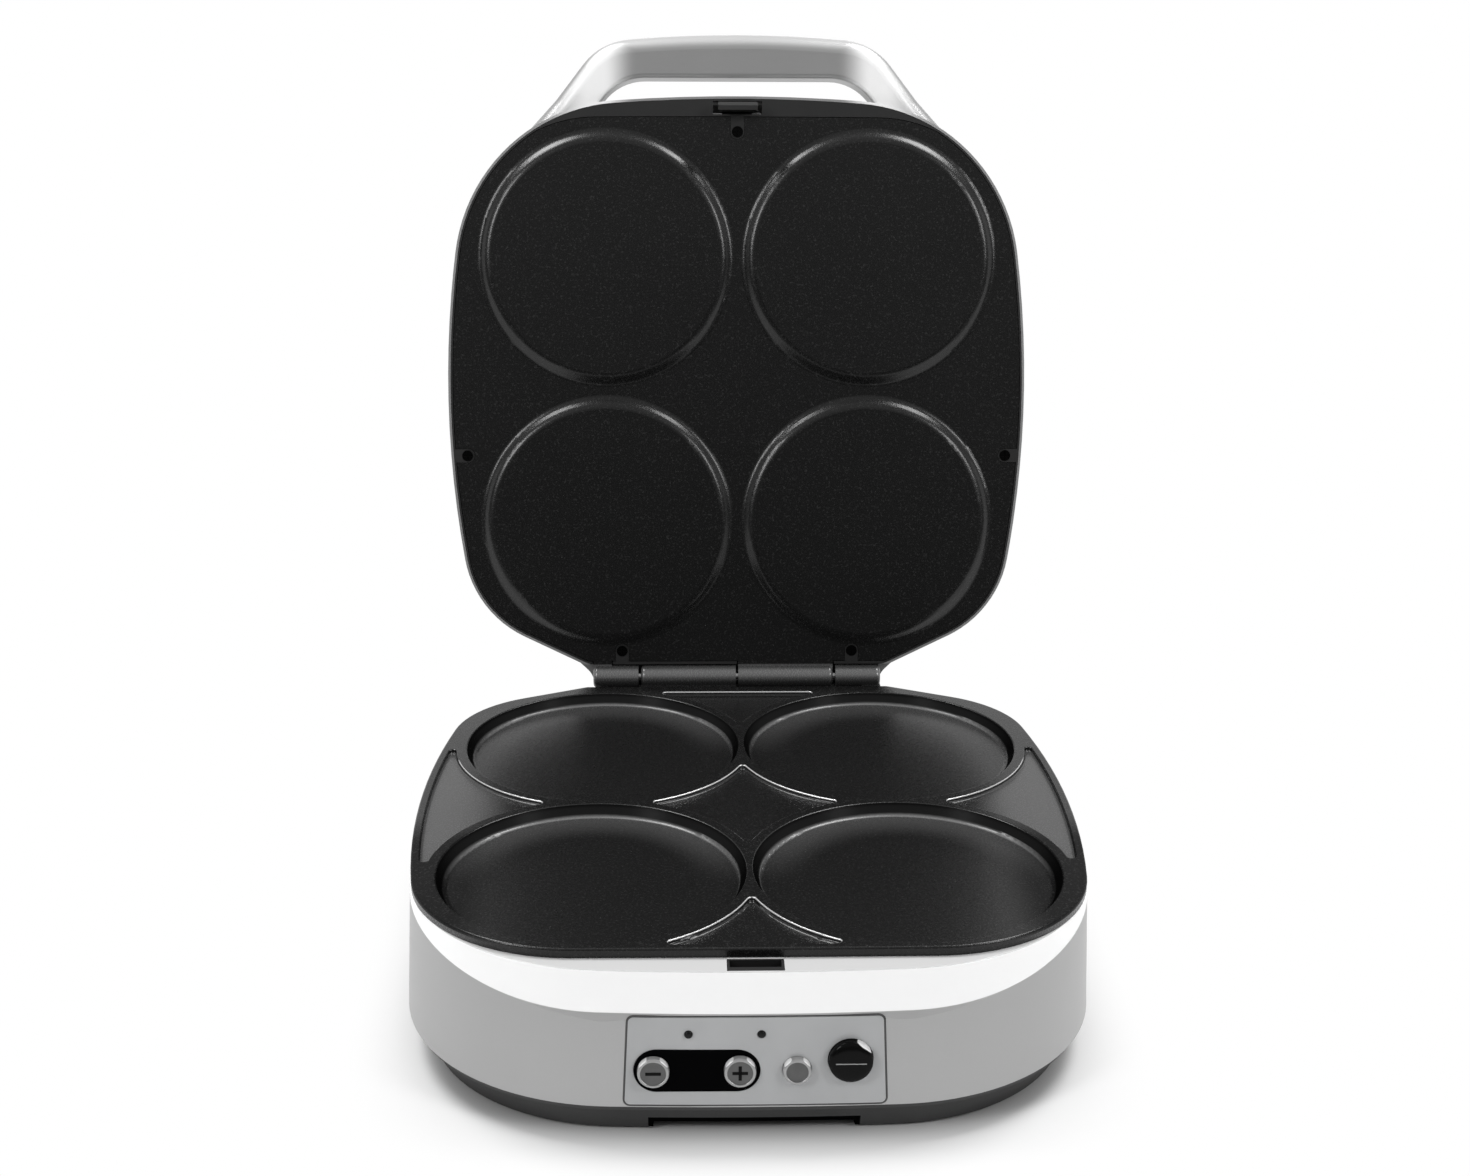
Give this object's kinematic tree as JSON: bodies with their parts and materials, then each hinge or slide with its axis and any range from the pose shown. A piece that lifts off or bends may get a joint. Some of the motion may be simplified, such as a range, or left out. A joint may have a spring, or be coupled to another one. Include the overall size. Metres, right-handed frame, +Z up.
{
  "type": "pancake maker",
  "caption": "Countertop pancake maker shown open: round coated cavities under a hinged disc-faced lid with bar handle and sprung latch hook, and a front button panel with display.",
  "frame": {"origin": "on the table, under the middle of the outside box of the open appliance", "axes": "+X to the right as seen from the button panel, +Y to the hinge at the back, +Z up"},
  "size_m": [0.2756, 0.3581, 0.3648],
  "materials": {
    "silver_body": "silver painted, fine satin grain",
    "dark_tray": "fine textured dark grey",
    "foot_rubber": "matt",
    "screw_steel": "zinc plated",
    "cook_coating": "cast, with a dark grey non-stick coating of fine grain",
    "heater_sheath": "drawn sheath, heat stained",
    "shield_sheet": "aluminised sheet",
    "pin_steel": "ground and polished",
    "black_plastic": "satin black moulding",
    "panel_grey": "satin silver grey",
    "display_glass": "smooth black window",
    "display_part": "plain display module",
    "light_lens": "dark lens",
    "board_green": "solder mask",
    "switch_black": "moulded",
    "sensor_brass": "turned",
    "fuse_cap": "drawn can",
    "relay_case": "moulded case",
    "terminal_cream": "moulded",
    "button_clear": "clear cap over grey",
    "button_black": "polished black"
  },
  "bodies": {
    "base_body": {"base_housing": "silver_body", "bottom_tray": "dark_tray", "rubber_feet": "foot_rubber", "tray_screws": "screw_steel", "base_plate": "cook_coating", "base_heater": "heater_sheath", "base_heat_shield": "shield_sheet", "shield_screws": "screw_steel", "hinge_pin": "pin_steel", "latch_catch": "black_plastic", "control_panel": "panel_grey", "display_window": "display_glass", "display_board": "display_part", "power_light": "light_lens", "ready_light": "light_lens", "control_board": "board_green", "tact_switches": "switch_black", "board_screws": "screw_steel", "temperature_sensor": "sensor_brass", "thermal_fuse": "fuse_cap", "power_board": "board_green", "power_relay": "relay_case", "terminal_block": "terminal_cream", "cord_gland": "black_plastic"},
    "lid_body": {"lid_shell": "silver_body", "lid_frame": "black_plastic", "lid_plate": "cook_coating", "lid_heater": "heater_sheath", "lid_heat_shield": "shield_sheet", "lid_shield_screws": "screw_steel", "lid_thermostat": "sensor_brass", "lid_screws": "screw_steel", "latch_pin": "pin_steel", "latch_spring": "pin_steel"},
    "hook_body": {"latch_hook": "black_plastic"},
    "minus_body": {"minus_button": "button_clear"},
    "plus_body": {"plus_button": "button_clear"},
    "extra_body": {"extra_button": "button_clear"},
    "start_body": {"start_button": "button_black"}
  },
  "joints": [
    {"name": "lid_hinge", "type": "hinge", "parent": "base_body", "child": "lid_body", "pos_m": [0, 0.09982, 0.0735], "axis": [1, 0, 0], "range_deg": [0, 101.7]},
    {"name": "latch_pivot", "type": "hinge", "parent": "lid_body", "child": "hook_body", "pos_m": [0, 0.15983, 0.32976], "axis": [1, 0, 0], "range_deg": [0, 4], "stiffness_Nm_per_rad": 0.3, "springref_deg": -5.16},
    {"name": "minus_press", "type": "slide", "parent": "base_body", "child": "minus_body", "axis": [0, 0.9986, -0.0523], "range_m": [0, 0.0008], "stiffness_N_per_m": 500, "springref_m": -0.001},
    {"name": "plus_press", "type": "slide", "parent": "base_body", "child": "plus_body", "axis": [0, 0.9986, -0.0523], "range_m": [0, 0.0008], "stiffness_N_per_m": 500, "springref_m": -0.001},
    {"name": "extra_press", "type": "slide", "parent": "base_body", "child": "extra_body", "axis": [0, 0.9986, -0.0523], "range_m": [0, 0.0008], "stiffness_N_per_m": 500, "springref_m": -0.001},
    {"name": "start_press", "type": "slide", "parent": "base_body", "child": "start_body", "axis": [0, 0.9986, -0.0523], "range_m": [0, 0.0008], "stiffness_N_per_m": 500, "springref_m": -0.001}
  ]
}
